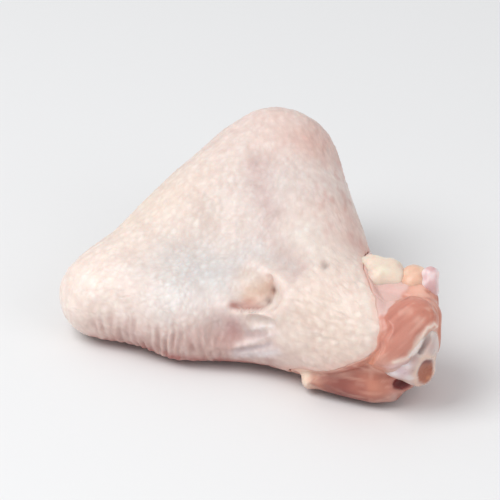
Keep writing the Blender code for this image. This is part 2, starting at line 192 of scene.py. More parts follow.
VALLEY = path((0.2, 7.3, 38), (1.9, -7.6, 32.7), (3.1, -16.8, 29.1), (8.8, -30.2, 26.7))
POCKET = path((-6, -26.5, 20.2), (-0.4, -29.8, 20.2), (3.8, -33, 20.5))
POCKET_CREASE = path(
    (-6, -31.6, 17.9), (-3.6, -32, 17.8), (-0.2, -32.6, 17.9), (1.7, -32.3, 18), (3.9, -31.2, 18.9),
    (5.5, -30, 21.2), (4.7, -28.7, 23.4), (1.6, -26.6, 23.9),
)
# line of painted shade along the pocket's floor
POCKET_FLOOR_SHADE = path((-6.2, -31.6, 18), (-3.6, -32, 17.8), (-0.2, -32.6, 17.9), (4, -32.2, 18.4))
HEM = path(
    (-4.6, -18.1, 22.9), (0.6, -22.9, 24.2), (4.9, -28.5, 24.8), (8, -33.7, 24.2),
    (8.7, -36.7, 22.2), (7.2, -37.4, 19.3),
)
HEM_EDGE = path(
    (3.3, -26.8, 24.9), (6.4, -30.2, 25), (7.2, -32.8, 23.2), (6.2, -33.4, 20.2),
    (4.7, -34.8, 18.7),
)
HEM_CREASE = path((8.2, -34.6, 24), (7.9, -34.2, 22), (7.2, -34, 19.9))
HEM_SHADE = path((-0.5, -15.5, 25.2), (3, -20.6, 26.6), (8.2, -26.8, 26.8), (11.6, -30.8, 27.2))
LOWER_LIP = path((-5.9, -31.2, 17.5), (0.9, -33.9, 17.6), (6, -37.2, 18))
LIP_EDGE = path(
    (-6.8, -32.4, 16.4), (-3.5, -32.9, 16.3), (1.2, -34.3, 16.8), (4.8, -36, 17.3),
    (6.5, -38.2, 17),
)
LEAF = path((-1.2, -33.6, 15.4), (3, -35.4, 15.8), (6.2, -37.8, 15.9))
DENT = path((-8, -33.8, 11.5), (-3, -34.9, 11.5), (3, -37, 13))
TIP_CREASE = path((-36, -4, 6.6), (-22.6, 11.6, 7.7), (-10.5, 22.6, 10.7), (1, 27, 11))
LOW_CORD = path(
    (-5, -33.8, 7.4), (-1.9, -34.4, 9), (1.1, -35.4, 10.5), (4.7, -36.8, 13), (7.6, -38.8, 15.2),
)
HIGH_CORD = path((-1.2, -34, 12.6), (2, -35, 13.6), (4.4, -36.2, 14.8), (6.6, -38, 15.8))
HIGH_SHADE = path((-2.4, -33.8, 11.3), (0.6, -34.9, 11.6), (4.6, -36.4, 13))
CORD_SHADE = path((-5.2, -33.8, 6.2), (-0.1, -34.9, 8), (3.6, -36.2, 9.6), (6, -37.6, 11.6))
BELOW_CORD = path((-6.4, -33.2, 4.6), (-2, -34.4, 5.8), (2.3, -36.2, 7.2), (8.5, -39.6, 10.4))
POCKET_DEPTH, POCKET_WIDTH = 2.5, 2.7
HEM_RISE, HEM_WIDTH = 1.3, 2
DIMPLE, DIMPLE_DEPTH, DIMPLE_SIZE = (17, -31.5, 29.5), 0.9, (0.8, 1.3, 1.3)
FOLDS = (  # line, depth (below zero for a ridge), width
    (VALLEY, 1.2, 5),
    (LOWER_LIP, -0.8, 2),
    (DENT, 1.6, 3),
    (TIP_CREASE, 1.8, 3),
)
FINE_FOLDS = (  # the same, for folds that fade out at both ends
    (LIP_EDGE, -0.35, 0.9),
    (LEAF, 0.9, 1.1),
    (LOW_CORD, -0.7, 0.9),
    (HIGH_CORD, -0.5, 0.8),
    (CORD_SHADE, 0.45, 0.8),
    (HIGH_SHADE, 0.4, 0.8),
    (POCKET_CREASE, 0.8, 0.9),
    (HEM_EDGE, -0.4, 0.9),
    (HEM_CREASE, 0.5, 0.6),
    (HEM_SHADE, 0.5, 1.3),
)


def faded(line, p, width):
    """Bell across a line that also dies away over a fifth of the line's length at each end."""
    d, share = along(line, p)
    fifth = 0.2
    return bump(d, width) * ramp(share, 0, fifth) * ramp(1 - share, 0, fifth)


def folds(p):
    """How far the surface sinks: the sum of a bell across each fold; pocket and hem grow along it."""
    sink = sum(depth * beside(line, p, width) for line, depth, width in FOLDS)
    sink = sink + sum(depth * faded(line, p, width) for line, depth, width in FINE_FOLDS)
    d, share = along(POCKET, p)
    sink = sink + POCKET_DEPTH * bump(d, POCKET_WIDTH) * (0.2 + 0.8 * share ** 1.3)
    d, share = along(HEM, p)
    sink = sink - HEM_RISE * bump(d, HEM_WIDTH) * (0.25 + 0.75 * share)
    return sink + DIMPLE_DEPTH * spot(p, DIMPLE, 1.1, DIMPLE_SIZE)


def wing(p):
    """The whole folded wing: limbs, web, shoulder and tucked tip blended, folded, on the board."""
    under = np.array((SHOULDER, TIP_END, TIP_ROOT))
    under[:, 2] = UNDERSIDE
    arm = blend([
        limb(p, SHOULDER, ELBOW, *UPPER_ARM_R, UPPER_ARM_SWELL),
        limb(p, ELBOW, WRIST, *FOREARM_R, FOREARM_SWELL),
        slab(p, np.array((SHOULDER, ELBOW, WRIST)), WEB_HALF),
        slab(p, under, UNDERSIDE_HALF),
        ball(p, SHOULDER_BALL, SHOULDER_BALL_R),
        limb(p, WRIST, EDGE_MIDDLE, EDGE_R, EDGE_R),
        limb(p, EDGE_MIDDLE, SHOULDER_BALL, EDGE_R, EDGE_R),
        limb(p, TIP_ROOT, TIP_END, *TIP_R),
    ], LIMB_BLEND)
    return on_board(p, blend([arm, ball(p, CUT_BALL, CUT_BALL_R)], CUT_BLEND) + folds(p))


print(len(FOLDS) + len(FINE_FOLDS), "folds besides the pocket and its hem")

# %% [markdown]
# ## Sweeping the form
#
# To turn a distance into a mesh, rays go out from a path that sweeps through the wing from the
# wrist to the cut end, and each ray stops at the surface. The rings of hits make a tidy grid, two
# numbers to a point: how far along the sweep, and how far round. A coarse grid is found first and
# read between its points, so the fine one needs only a few more steps.

# %% the sweep
STATIONS = np.array((  # x, y, z, compass of the section, half length and height
    (-36.5, -17.5, 10, 112, 13, 10),
    (-24.9, -11.9, 12, 100, 20, 12),
    (-15, -2, 15, 90, 29, 15),
    (-3.1, 3, 18, 80, 36, 18),
    (5.4, -5.2, 18, 71, 31, 17),
    (13.5, -18.6, 16, 62, 22, 15),
    (21.5, -31, 15.5, 68, 17, 14),
    (28, -39, 15.7, 80, 14, 13),
    (32, -41, 15.7, 85, 12, 12),
))
LAST, CAP = len(STATIONS) - 1, 2  # last station, stations' worth of rings on each dome
CROWDING = (0.5, 0.7, 1.4, 1.6, 1.8, 2, 1.6, 1, 0.8, 0.8)  # share of rings at each station
RIM_STATION = 6.45
RIM_WAVES = (  # height in stations, count, degrees of the top
    (0.95, 1, 140), (0.40, 2, 143), (0.04, 9, 10), (0.03, 17, -3),
)
RIM_BITES = ((0.80, 226, 22), (0.22, 126, 14))  # depth, degrees, width in degrees
ROUGH_STEPS, FINE_STEPS, STRIDE = 90, 12, 0.7  # a step walks this share of the distance
TURN_TABLE = 721


def rim_station(turn):
    """Where the sleeve ends: a sum of waves round it, less the bites at the lower and upper front."""
    waves = sum(high * np.cos(count * (turn - np.radians(top))) for high, count, top in RIM_WAVES)
    bites = sum(deep * bump(turn - np.radians(at), np.radians(wide)) for deep, at, wide in RIM_BITES)
    return RIM_STATION + waves - bites


def through(rows, at):
    """Smooth curve through rows (Catmull-Rom), read at places counted in rows."""
    rows = np.vstack((2 * rows[0] - rows[1], rows, 2 * rows[-1] - rows[-2]))
    i = np.clip(np.floor(at).astype(int), 0, len(rows) - 4)
    t = (at - i)[..., None]
    a, b, c, d = rows[i], rows[i + 1], rows[i + 2], rows[i + 3]
    bend = 2 * a - 5 * b + 4 * c - d
    twist = 3 * b - a - 3 * c + d
    return 0.5 * (2 * b + (c - a) * t + bend * t ** 2 + twist * t ** 3)


def rays(at, turn):
    """Start and heading of each ray; past both ends they tip forward to close a dome."""
    row = through(STATIONS, np.clip(at, 0, LAST))
    past = np.clip(at - LAST, 0, CAP) + np.clip(at, -CAP, 0)
    tip = past / CAP * np.pi / 2
    compass = np.radians(row[..., 3])
    out = np.stack((np.cos(compass), np.sin(compass), 0 * compass), axis=-1)
    ahead = np.stack((np.sin(compass), -np.cos(compass), 0 * compass), axis=-1)
    across, rise = row[..., 4] * np.cos(turn), row[..., 5] * np.sin(turn)
    size = np.hypot(across, rise)
    ring = (across / size)[..., None] * out + (rise / size)[..., None] * np.array((0, 0, 1))
    return row[..., :3], np.cos(tip)[..., None] * ring + np.sin(tip)[..., None] * ahead


def march(start, heading, field, steps, reach):
    """Walk each ray by a share of the distance that the field still shows."""
    for _ in range(steps):
        reach = reach - STRIDE * field(start + reach[..., None] * heading)
    return reach


def between(count, parts, closed):
    """Table that reads a coarse row at every fine place, by straight lines between its points."""
    picks = np.round(np.linspace(0, count if closed else count - 1, parts)).astype(int)
    table = [np.interp(np.arange(count), picks, column) for column in np.eye(parts)]
    return picks, np.stack(table, axis=1)


def cast(at, turn, field, coarse=(52, 72)):
    """Grid of points where the rays meet the surface; field takes points, at and turn."""
    rows, row_table = between(at.shape[0], min(coarse[0], at.shape[0]), False)
    columns, column_table = between(at.shape[1], min(coarse[1], at.shape[1]), True)
    pick = np.ix_(rows, columns % at.shape[1])
    start, heading = rays(at[pick], turn[pick])
    none = np.zeros(start.shape[:-1])
    rough = march(start, heading, lambda p: field(p, at[pick], turn[pick]), ROUGH_STEPS, none)
    start, heading = rays(at, turn)
    reach = row_table @ rough @ column_table.T
    reach = march(start, heading, lambda p: field(p, at, turn), FINE_STEPS, reach)
    return start + reach[..., None] * heading


def one_ray(at, field):
    """A single hit, for the pole of a dome."""
    at, turn = np.array([[at]]), np.array([[0]])
    start, heading = rays(at, turn)
    reach = march(start, heading, lambda p: field(p, at, turn), ROUGH_STEPS, np.zeros((1, 1)))
    return (start + reach[..., None] * heading)[0]


def sleeve_stations(rings, turn):
    """Places of rings from the wrist's pole to the rim; they lean with the rim only near it."""
    filled = np.concatenate(((0,), np.cumsum(CROWDING)))
    places = np.arange(len(filled)) - CAP
    total = np.interp(RIM_STATION, places, filled)
    even = np.interp(np.linspace(0, total, rings + 1)[1:], filled, places)
    w = ((even + CAP) / (RIM_STATION + CAP))[:, None]
    return -CAP + w * (RIM_STATION + CAP) + (rim_station(turn) - RIM_STATION) * w ** 3


def turns_round(count, under_share):
    """Angles round a flat section, closer where it is wide, and sparser on the underside."""
    t = np.linspace(0, 2 * np.pi, TURN_TABLE)
    speed = np.hypot(2 * np.sin(t), np.cos(t))
    speed *= 1 - (1 - under_share) * ramp(-np.sin(t - np.radians(20)), 0.1, 0.6)
    filled = np.concatenate(((0,), np.cumsum(0.5 * (speed[1:] + speed[:-1]))))
    return np.interp(np.arange(count) / count * filled[-1], filled, t)[None, :]


print("sweep of", len(STATIONS), "stations")

# %% [markdown]
# ## Natural unevenness
#
# Nothing on a wing is smooth. Two kinds of randomness are enough: soft noise for swellings and
# stains, and cells for the goose bumps that the feathers leave. Both read a repeatable random
# number at whole-number places, so the wing comes out the same every time.

# %% noise and cells
SCRAMBLE, SEED_STEP, BLOW_UP = np.array((127.1, 311.7, 74.7)), 53.3, 43758.5453  # any uneven numbers
FAR = 9.0  # further than any dot of the cells can be


def chance(cell, seed):
    """Repeatable number from 0 to 1 for each whole-number place: the broken part of a large sine."""
    return (np.sin(cell @ SCRAMBLE + SEED_STEP * seed) * BLOW_UP) % 1


def noise(p, size, seed=0):
    """Soft noise from -1 to 1: chance at the corners of cubes of that size, eased in between."""
    q = p / np.array(size)
    base = np.floor(q)
    t = q - base
    t = t * t * (3 - 2 * t)
    total = np.zeros(p.shape[:-1])
    for corner in np.ndindex(2, 2, 2):
        near = np.prod(np.where(np.array(corner) == 1, t, 1 - t), axis=-1)
        total += near * chance(base + np.array(corner), seed)
    return 2 * total - 1


def cells(p, size, seed=0, jitter=0.8):
    """Distances to the nearest and next nearest dot, one jittered dot to a cube of that size."""
    q = p / np.array(size)
    base = np.floor(q)
    first = np.full(p.shape[:-1], FAR)
    second = first.copy()
    for step in np.ndindex(3, 3, 3):
        cell = base + np.array(step) - 1
        shift = np.stack([chance(cell, seed + k) for k in range(3)], axis=-1) - 0.5
        d = length(q - cell - 0.5 - jitter * shift)
        second = np.minimum(second, np.maximum(first, d))
        first = np.minimum(first, d)
    return first, second


print("noise at the elbow:", round(float(noise(ELBOW[None], 9)[0]), 3))

# %% [markdown]
# ## From rings to a mesh
#
# A grid of rings becomes a closed piece when neighbouring rings are joined by four-sided faces
# and a fan closes each pole. Colour is worked out per point and kept with the mesh, so a stain
# stays where it belongs on the flesh.

# %% mesh helpers
def tone(*rgb):
    """Linear colour from the 0 to 255 values of a picture."""
    value = np.array(rgb) / 255
    return np.where(value <= 0.04045, value / 12.92, ((value + 0.055) / 1.055) ** 2.4)


def mix_in(colour, other, weight):
    """Straight mix of two colours by a weight per point."""
    return colour + (other - colour) * np.clip(weight, 0, 1)[..., None]


def washed(colour, washes):
    """Each wash in turn mixed over a colour: red, green and blue, then its weight per point."""
    for *rgb, weight in washes:
        colour = mix_in(colour, tone(*rgb), weight)
    return colour


def stained(colour, p, stains):
    """Washes that fade by a bell round their place."""
    return washed(colour, [
        (*rgb, strength * spot(p, (x, y, z), reach)) for x, y, z, reach, *rgb, strength in stains
    ])


def wander(p, amount, size, seed):
    """Points pushed about softly, so that a stain's border is ragged."""
    return p + amount * np.stack([noise(p, size, seed + k) for k in range(3)], axis=-1)


def add_object(name, data):
    """New object in the scene."""
    made = bpy.data.objects.new(name, data)
    bpy.context.scene.collection.objects.link(made)
    return made


def outward(points, heading):
    """Unit normals of a grid: cross product of its two neighbour differences, turned outwards."""
    along_sweep = np.gradient(points, axis=0)
    around = np.roll(points, -1, axis=1) - np.roll(points, 1, axis=1)
    normal = np.cross(around, along_sweep)
    normal /= np.linalg.norm(normal, axis=-1, keepdims=True) + 1e-12
    side = np.sign((normal * heading).sum(axis=-1, keepdims=True).sum())
    return normal * side


def closed_piece(name, first_pole, rings, last_pole, paint):
    """Mesh object from rings and two poles, with a colour per point kept as 'flesh_colour'."""
    count, around = rings.shape[:2]
    points = np.concatenate((first_pole, rings.reshape(-1, 3), last_pole))
    points[:, 2] = np.maximum(points[:, 2], 0)
    ring = 1 + np.arange(count)[:, None] * around
    here, after = ring + np.arange(around), ring + (np.arange(around) + 1) % around
    quads = np.stack([c.ravel() for c in (here[:-1], after[:-1], after[1:], here[1:])], axis=-1)
    first = np.stack((0 * here[0], after[0], here[0]), -1)
    last = np.stack((here[-1], after[-1], 0 * here[-1] + len(points) - 1), -1)
    mesh = bpy.data.meshes.new(name)
    faces = first.tolist() + quads.tolist() + last.tolist()
    mesh.from_pydata(((points - MIDDLE) * MM).tolist(), [], faces)
    mesh.shade_smooth()
    colour = np.ones((len(points), 4))
    colour[:, :3] = paint(points)
    layer = mesh.color_attributes.new("flesh_colour", "FLOAT_COLOR", "POINT")
    layer.data.foreach_set("color", colour.ravel())
    print(name, 2 * len(quads) + len(first) + len(last), "triangles")
    return add_object(name, mesh)


print("a grey of 128 in linear light:", tone(128).round(3))

# %% [markdown]
# ## Skin relief
#
# Plucked skin has three scales of relief. Large soft swellings come from the flesh below,
# gathers cross the tight front edge of the web, and goose bumps sit everywhere, larger and
# scalier over the shoulder. The relief moves each point along its normal and never lifts it
# above the measured form.

# %% skin relief
LEADING_EDGE = np.array((WRIST, EDGE_MIDDLE, SHOULDER_BALL)) - np.array((0, EDGE_R, 0))
PLEATS = 33
FINE_CELL, SCALE_CELL = (1.5, 1.8, 1.8), (1.7, 2.2, 2.2)
FINE_HEIGHT, SCALE_HEIGHT = 0.36, 0.55
CALM_WIDTH, CALM_SHARE = 2.2, 0.85  # how far and how much the folds smooth the goose bumps
BULGE, BULGE_REACH = (20, -42, 20), 17  # swelling in front of the shoulder
TIGHT_DEPTH, LOOSE_DEPTH, LEAST_DEPTH = 0.48, 0.24, 0.36
GATHER_DEPTH = 0.75


def pleat_depth(p):
    """Gathers: soft waves across the leading edge at uneven steps, fading upwards from it."""
    _, share = along(LEADING_EDGE, p)
    reach = (1 - ramp(p[..., 2], 7, 15)) * ramp(-p[..., 1], 10, 18)
    reach = reach * ramp(p[..., 0], -43, -34) * (1 - ramp(p[..., 0], -10, -3))
    uneven = 0.36 * noise(p, (4, 4, 5), 5) + 0.16 * noise(p, (1.9, 1.9, 2.6), 7)
    crease = 0.5 + 0.5 * np.cos(2 * np.pi * (share * PLEATS + uneven))
    return reach * (0.5 + 0.5 * noise(p, (2.6, 2.6, 3.4), 8)) * crease


def calm(p):
    """Share of the goose bumps that is left: few in the tight folds, all of them away from there."""
    near = [beside(line, p, CALM_WIDTH) for line in (POCKET_CREASE, LIP_EDGE, LOW_CORD, LEAF)]
    return 1 - CALM_SHARE * np.stack(near).max(axis=0)


def goose_bumps(p):
    """Height of the goose bumps, and their pattern from hollow 0 to top 1: scaly on the bulge."""
    scaly = spot(p, BULGE, BULGE_REACH)
    first, second = cells(p + 0.6 * noise(p, 1.6, 9)[..., None], FINE_CELL, 1, 1)
    fine = 0.5 * bump(first, 0.45) + 0.3 * np.clip((second - first) * 2, 0, 1)
    fine = fine + 0.2 * (0.5 + 0.5 * noise(p, (0.8, 1.3, 1.3), 18))
    first, second = cells(p + 0.5 * noise(p, 3, 9)[..., None], SCALE_CELL, 4, 0.9)
    scale = 0.55 * bump(first, 0.5) + 0.45 * ramp(second - first, 0, 0.8)
    lively = 0.6 + 0.4 * noise(p, 7, 13)
    height = (1 - scaly) * FINE_HEIGHT * lively * fine + scaly * SCALE_HEIGHT * scale
    return height * calm(p), (1 - scaly) * fine + scaly * scale


def skin_relief(p):
    """Depth below the measured form, in millimetres: flesh below, gathers, less the goose bumps."""
    swelling = 0.22 * noise(p, 9, 2) + 0.12 * noise(p, 4.2, 3) + 0.05 * noise(p, 2, 6)
    depth = TIGHT_DEPTH + LOOSE_DEPTH * calm(p) + GATHER_DEPTH * pleat_depth(p) + swelling
    return np.maximum(depth - goose_bumps(p)[0], LEAST_DEPTH)


print(PLEATS, "gathers over", round(float(length(np.diff(LEADING_EDGE, axis=0)).sum())), "mm")

# %% [markdown]
# ## Skin colours
#
# Raw skin is a thin, pale, half clear sheet. It looks creamy over fat, grey-blue where only the
# web lies under it, pink where blood gathered at the elbow, and warmer in its creases. The creases,
# pores, goose bumps' hollows and low front edge also get painted shade. Each
# stain is a place, a reach and a tone, mixed over the ground colour one after another.

# %% skin colours
SKIN_GROUND = tone(231, 216, 208)
SKIN_STAINS = (  # x, y, z, reach, red, green, blue, strength
    (-44, -20, 12, 15, 245, 231, 222, 0.85),  # plump wrist
    (-30, 5, 22, 18, 238, 223, 207, 0.75),  # fat along the forearm
    (-13, -21, 19.4, 13, 212, 213, 212, 0.85),  # clear web, grey-blue
    (-2, -20, 23, 8, 212, 211, 212, 0.5),
    (8, 2, 35, 13, 218, 209, 204, 0.6),  # over the upper arm muscle
    (3, 27, 38, 14, 234, 213, 205, 0.7),  # elbow
    (12.9, 15, 37, 8.5, 222, 181, 169, 0.7),  # bruise beside the elbow
    (16, 26, 31, 8, 222, 184, 172, 0.7),
    (22, -8.8, 30, 8.5, 220, 187, 175, 0.65),  # flushed back of the arm
    (1.4, -4, 32.2, 8, 212, 200, 196, 0.6),  # painted shade: a darker mauve strip over the valley
    (-8.5, -4, 30.5, 8, 219, 207, 199, 0.6),  # dull skin beside that shade
    (-1.5, -23.5, 23, 4, 220, 203, 191, 0.75),  # warm upper edge of the pocket, darkened as painted shade where it slopes in
    (13, -23, 29, 9, 226, 220, 212, 0.75),  # pale skin round the dimple
    (24, -20, 27, 7, 216, 178, 168, 0.85),
    (20, -42, 20, 15, 228, 212, 199, 0.85),  # fat over the shoulder
    (24, -46, 6, 7.5, 208, 166, 154, 0.75),  # flushed lower rim
    (-4.2, -33.8, 11.2, 5, 180, 134, 132, 0.85),  # purple shade under the pocket
    (-12, -32.5, 9, 6, 208, 178, 170, 0.5),
    (1.4, -29, 20.4, 3.5, 216, 188, 166, 0.9),  # warm inside of the pocket, with painted shade darker towards its crease
    (0.8, -31.4, 18.8, 2.2, 208, 160, 146, 0.8),
    (4.4, -29.6, 20.4, 1.9, 190, 150, 130, 0.6),
    (14, -42.5, 6, 4, 214, 174, 164, 0.6),  # flushed skin at the low bite
)
LINES = (  # line, reach, red, green, blue, strength
    # painted shade: darker in the pocket's crease and along its floor
    (POCKET_CREASE, 0.75, 190, 142, 124, 0.7),
    (POCKET_FLOOR_SHADE, 1.1, 166, 110, 100, 0.95),
    # painted shade in the hem's crease
    (HEM_CREASE, 0.45, 186, 150, 134, 0.6),
    (HEM_SHADE, 1.4, 198, 194, 192, 0.65),
    (HEM, 1.2, 244, 232, 226, 0.5),
    (HEM_EDGE, 0.8, 240, 224, 214, 0.6),
    (LIP_EDGE, 0.8, 240, 226, 218, 0.7),
    # painted shade in the leaf-shaped valley
    (LEAF, 0.9, 196, 178, 174, 0.5),
    (LOW_CORD, 0.8, 236, 224, 220, 0.8),
    (HIGH_CORD, 0.7, 236, 226, 224, 0.8),
    (CORD_SHADE, 0.8, 178, 164, 168, 0.7),
    (HIGH_SHADE, 1, 170, 146, 150, 0.7),
    (BELOW_CORD, 1.4, 228, 222, 224, 0.75),
)
PORE_SHADES = (  # the same as the stains: painted shade in two little pores
    (5.6, -30, 21.4, 0.8, 106, 68, 58, 0.9),
    (4, -31.2, 18.9, 0.8, 106, 68, 58, 0.9),
)
HOLLOW_SHADE = np.array((0.87, 0.80, 0.78))  # painted shade: what is left of red, green and blue in a goose bump's hollow
PATCH_TINT, FLECK_TINT = np.array((0.7, 1, 1.1)), np.array((0.8, 1, 1.05))


def front_band(colour, p):
    """The tight front edge: a darker mauve band of painted shade low down, painted shade in the
    gathers, and red specks close to the board.
    """
    x, y, z = np.moveaxis(p, -1, 0)
    front = ramp(14 - z, 0, 8) * ramp(-y, 8, 20)
    front = front * ramp(14 - x, 0, 10) * ramp(x, -44, -32)
    low = front * ramp(4.6 - z, 0, 3)
    specks = low * ramp(noise(p, (1.6, 1.6, 2.2), 14), 0, 0.6)
    flushed = ramp(x, 8, 20) * ramp(y, -28, -16)
    flushed = flushed * ramp(noise(p, (1, 3.4, 2.4), 16), 0, 0.8)
    streaks = front * ramp(5.4 - z, 0, 3.6) * ramp(noise(p, (2.4, 2.4, 3), 14), -0.5, 0.5)
    return washed(colour, (
        # painted shade: a darker mauve band low on the front edge, and darker creases in the gathers
        (192, 156, 149, front * (0.6 + 0.25 * noise(p, (2, 2, 4), 17))),
        (170, 126, 118, 0.7 * pleat_depth(p)),
        (216, 182, 172, 0.5 * low),
        (172, 84, 80, 0.8 * specks),
        (204, 154, 144, 0.5 * flushed),
        (170, 92, 88, 0.75 * streaks),
    ))


def skin_paint(p, edge):
    """Ground colour, then stains, the front band, creases, pores, flecks and the rim's edge; painted
    shade in creases, pores, dimple, hollows and low front, and a rim partly painted light.
    """
    ragged = wander(p, 2.2, 7, 20)
    colour = front_band(stained(SKIN_GROUND, ragged, SKIN_STAINS), p)
    # painted shade: darker along the valley
    colour = washed(colour, [(202, 178, 174, 0.65 * beside(VALLEY, ragged, 3.2))] + [
        (*rgb, strength * faded(line, p, reach)) for line, reach, *rgb, strength in LINES
    ])
    # painted shade: dark spots in the dimple and in the two pores
    dimple_shade = spot(p, DIMPLE, 1.15, (0.7, 1.4, 1.4))
    colour = washed(stained(colour, p, PORE_SHADES), [(122, 98, 92, 0.92 * dimple_shade)])
    # painted shade: the hollows between the goose bumps are darkened
    hollow = 1 - goose_bumps(p)[1]
    colour = mix_in(colour, colour * HOLLOW_SHADE, 0.8 * hollow)
    patches = noise(p, (2.8, 3.2, 3.2), 12)[..., None] * PATCH_TINT
    fleck = noise(p, (1.1, 1.5, 1.5), 11)[..., None] * FLECK_TINT
    colour = colour * (1.03 + 0.085 * fleck + 0.05 * patches)
    # pink at the rim: partly the cut skin's own flush, partly painted light that lifts the shade in
    # the groove
    return washed(colour, [(222, 172, 158, 0.8 * edge)])


print(len(SKIN_STAINS), "stains")

# %% [markdown]
# ## The skin
#
# The skin is one closed sheet with two sides. Its outside runs from the wrist to the sleeve's
# rim, turns round a soft lip, and its lining runs back. It could be a thin shell with a Solidify
# modifier, but two swept sides let it thin out towards the rim as real skin does.

# %% skin
AROUND, RINGS, LINING_RINGS = 396, 212, 20
POLE_DEPTH = 0.2
LIP_REACH, LIP_TURNS = 0.6, np.radians((40, 90, 140))


def wall(at, turn):
    """Thickness of the skin, thinning towards the rim."""
    return THIN_RIM + (SKIN - THIN_RIM) * ramp(rim_station(turn) - at, 0, THIN_OVER)


def make_skin():
    """Outside with its relief, a round lip at the rim, and the lining back to the wrist."""
    turn = turns_round(AROUND, under_share=0.55)
    at = sleeve_stations(RINGS, turn)
    full_turn = turn + 0 * at
    outer = cast(at, full_turn, lambda p, a, t: wing(p))
    _, heading = rays(at, full_turn)
    fade = ramp(outer[..., 2], 0.2, 2.5)
    end = ramp(at, -CAP, -CAP + 0.25)
    depth = skin_relief(outer) * (0.25 + 0.75 * fade) * (0.4 + 0.6 * end)
    depth = np.minimum(depth, RELIEF + 0.7 * wall(at, turn))
    outer = outer - depth[..., None] * outward(outer, heading)
    near_rim = ramp(at - rim_station(turn), -0.34, -0.04) * (0.6 + 0.4 * noise(outer, 1.5, 15))
    inner_at = sleeve_stations(LINING_RINGS, turn)
    inner_turn = turn + 0 * inner_at
    lining = cast(inner_at, inner_turn, lambda p, a, t: wing(p) + RELIEF + wall(a, t))
    forward = unit(outer[-1] - outer[-3])
    middle, half = 0.5 * (outer[-1] + lining[-1]), 0.5 * (outer[-1] - lining[-1])
    lip = [middle + half * np.cos(a) + LIP_REACH * np.sin(a) * forward for a in LIP_TURNS]
    rings = np.concatenate((outer, np.array(lip), lining[::-1]))
    pole = one_ray(-CAP, lambda p, a, t: wing(p) + POLE_DEPTH)
    inner_pole = one_ray(-CAP, lambda p, a, t: wing(p) + RELIEF + SKIN)
    # the lip and lining take the whole pink, painted light against the groove's shade
    hidden = np.ones((len(rings) - len(outer)) * at.shape[1] + 1)
    edge = np.concatenate(((0,), near_rim.ravel(), hidden))
    return closed_piece("skin_sheet", pole, rings, inner_pole, lambda p: skin_paint(p, edge))


skin_sheet = make_skin()

# %% [markdown]
# ## The arm bone
#
# The bone runs through the meat from the shoulder to the elbow, and only its cartilage head
# shows. The head is a cluster of rounded knobs, with a groove and a slit between them, a white
# ridge, and a torn brown hollow where the ligament sat. Rings square to the bone's curved axis
# carry the same kind of field.

# %% bone
BONE_PATH = path(
    (37, -46.6, 15), (30.5, -37.5, 15.8), (20.5, -20.5, 17.8), (12, 1, 21), (6.5, 19, 24.5),
)
SHAFT_R, ELBOW_KNOB_R = 3.3, 5
BONE_CAP, BONE_RINGS, BONE_AROUND, BONE_STEPS = 0.8, 150, 128, 60
KNOBS = (  # x, y, z, radius; the last is the small low one
    (35.3, -48.2, 14.8, 5.4), (38.6, -47, 17.2, 5.4), (37.8, -45.6, 12.4, 4.6),
    (39.7, -48.4, 10.6, 3.4),
)
GROOVE = path((37, -53.5, 15.5), (40, -52.5, 18), (41.5, -50.5, 21))
BROWN, BROWN_SIZE = (41.2, -50.9, 11.8), (2.2, 4, 3.8)
BONE_STAINS = (  # x, y, z, reach, red, green, blue, strength
    (43, -48.6, 19.6, 2.2, 212, 196, 190, 0.8),
    (42.2, -49.6, 16.2, 2.4, 204, 192, 190, 0.7),
    (38.6, -52.6, 16.4, 1.7, 186, 156, 150, 0.8),  # neck
    (35.4, -53.6, 13.2, 2.8, 218, 194, 200, 0.9),  # lilac blob
    (34, -52.8, 12.4, 1.1, 246, 236, 236, 0.8),
    (36.9, -53, 14.6, 0.9, 244, 234, 234, 0.8),
    (38.4, -51.8, 13.2, 1.2, 150, 110, 102, 0.8),  # shade beside the torn hollow
)
RIDGE = path(
    (33.6, -54, 14.8), (37.6, -53.4, 17.2), (40, -51.8, 19.2), (42, -50, 21.2), (43.4, -48, 21.4),
)
SLIT = path((39.9, -51.9, 17.6), (41, -51, 19.2), (42, -50, 20.6))


def bone_field(p):
    """Shaft and knobs blended; groove, hollow and slit sunk into the head, and the ridge raised."""
    parts = [limb(p, a, b, SHAFT_R, SHAFT_R) for a, b in zip(BONE_PATH[:-1], BONE_PATH[1:])]
    parts += balls(p, KNOBS)
    parts.append(ball(p, BONE_PATH[-1], ELBOW_KNOB_R))
    sink = 0.7 * beside(GROOVE, p, 0.8) + 0.9 * spot(p, BROWN, 0.8, BROWN_SIZE)
    sink = sink + 0.8 * beside(SLIT, p, 0.7)
    return blend(parts, 1) + sink - 0.5 * beside(RIDGE, p, 0.7)


def torn_hollow(p, colour):
    """Brown flesh in the torn hollow, with painted shade darker at its upper edge, and a cream rim
    round it.
    """
    away = length((p - BROWN) / BROWN_SIZE) + 0.2 * noise(p, 1.5, 43)
    inside = 1 - ramp(away, 0.75, 1.05)
    upper = inside * ramp(p[..., 2] + noise(p, 1.4, 47), 12.6, 14.4)
    return washed(colour, (
        (224, 194, 176, 0.8 * bump(away - 1.2, 0.2)),
        (164, 92, 64, 0.95 * inside),
        (202, 138, 100, 0.7 * inside * ramp(noise(p, 1.1, 46), 0, 0.6)),
        # painted shade at the hollow's upper edge
        (112, 58, 56, 0.85 * upper),
    ))


def bone_paint(p):
    """Lilac-grey cartilage, whiter on its ridges, with painted shade dark in the slit, brown in the
    torn hollow.
    """
    colour = washed(tone(212, 184, 174), (
        (232, 226, 222, 0.7 * ramp(noise(p, 2.2, 41), 0, 0.7)),
        (180, 136, 128, 0.6 * ramp(noise(p, 2.8, 42), 0.1, 0.7)),
    ))
    ragged = p + 0.4 * noise(p, 1.1, 49)[..., None]
    colour = washed(stained(colour, p, BONE_STAINS), (
        (242, 230, 224, 0.85 * beside(RIDGE, p, 0.7)),
        # painted shade: dark in the slit
        (112, 84, 80, 0.9 * beside(SLIT, ragged, 0.7)),
    ))
    return torn_hollow(p, colour)


